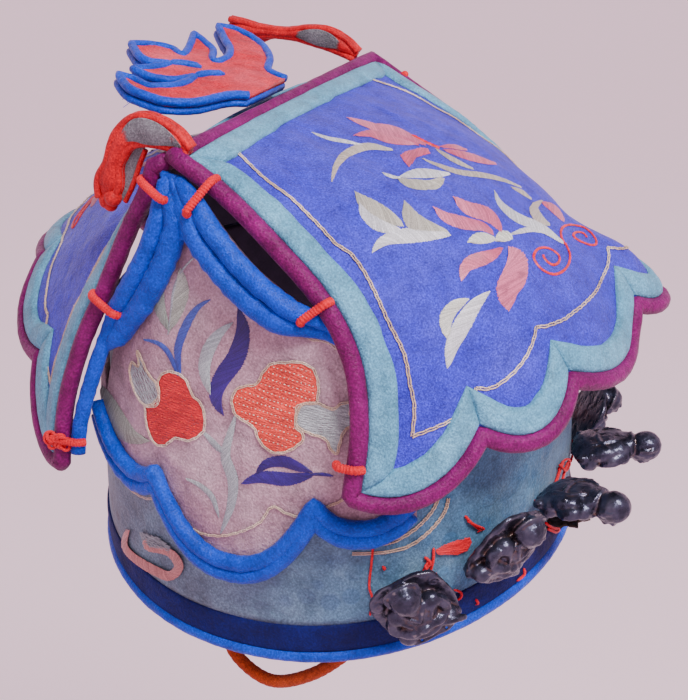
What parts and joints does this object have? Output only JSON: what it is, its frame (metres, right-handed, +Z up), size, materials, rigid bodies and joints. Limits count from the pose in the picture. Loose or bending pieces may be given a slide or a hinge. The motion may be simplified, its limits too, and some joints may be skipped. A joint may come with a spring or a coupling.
{
  "type": "child wind hat",
  "caption": "Child's silk hat shaped like a little pavilion: embroidered scalloped roof panels, gable sides, flame crest, horns and cast figures on the brow.",
  "frame": {"origin": "middle of the head opening, level with the rim over the ears", "axes": "+Z up through the crown, -Y towards the brow and the figures, -X towards the wearer's right ear"},
  "size_m": [0.1715, 0.2082, 0.1752],
  "materials": {
    "band_silk": "woven figured silk, grey blue to teal blue",
    "border_silk": "plain woven silk, dark royal blue",
    "royal_piping": "satin piping, royal blue",
    "roof_satin": "silk satin, periwinkle, embroidered",
    "teal_trim": "padded silk band, light teal",
    "magenta_binding": "silk piping, magenta",
    "gable_silk": "silk satin, lavender grey, embroidered",
    "felt": "wool felt, rose red",
    "horn_silk": "padded silk, red",
    "grey_insert": "ribbed silk, grey",
    "red_thread": "wrapped silk thread, red",
    "worn_silver": "stamped low silver, dark and worn",
    "dark_tag": "dark torn metal leaf, matt",
    "braided_cord": "braided cotton cord, salmon"
  },
  "bodies": {
    "root": {"crown_band": "band_silk", "rim_border": "border_silk", "rim_piping": "royal_piping", "front_roof_panel": "roof_satin", "front_roof_trim": "teal_trim", "front_roof_binding": "magenta_binding", "back_roof_panel": "roof_satin", "back_roof_trim": "teal_trim", "back_roof_binding": "magenta_binding", "right_gable_panel": "gable_silk", "right_front_edging": "royal_piping", "right_back_edging": "royal_piping", "right_hem_edging": "royal_piping", "left_gable_panel": "gable_silk", "left_front_edging": "royal_piping", "left_back_edging": "royal_piping", "left_hem_edging": "royal_piping", "right_front_tie_top": "red_thread", "right_front_tie_middle": "red_thread", "right_front_tie_corner": "red_thread", "right_back_tie_top": "red_thread", "right_back_tie_middle": "red_thread", "right_back_tie_corner": "red_thread", "left_front_tie_top": "red_thread", "left_front_tie_middle": "red_thread", "left_front_tie_corner": "red_thread", "left_back_tie_top": "red_thread", "left_back_tie_middle": "red_thread", "left_back_tie_corner": "red_thread", "flame_backing": "royal_piping", "flame_felt": "felt", "right_ridge_horn": "horn_silk", "right_horn_insert": "grey_insert", "left_ridge_horn": "horn_silk", "left_horn_insert": "grey_insert", "right_figure_1": "worn_silver", "left_figure_1": "worn_silver", "right_figure_2": "worn_silver", "left_figure_2": "worn_silver", "right_figure_3": "worn_silver", "left_figure_3": "worn_silver", "brow_tag_upper": "dark_tag", "brow_tag_lower": "dark_tag", "right_cord_loop": "braided_cord", "left_cord_loop": "braided_cord"}
  },
  "joints": []
}
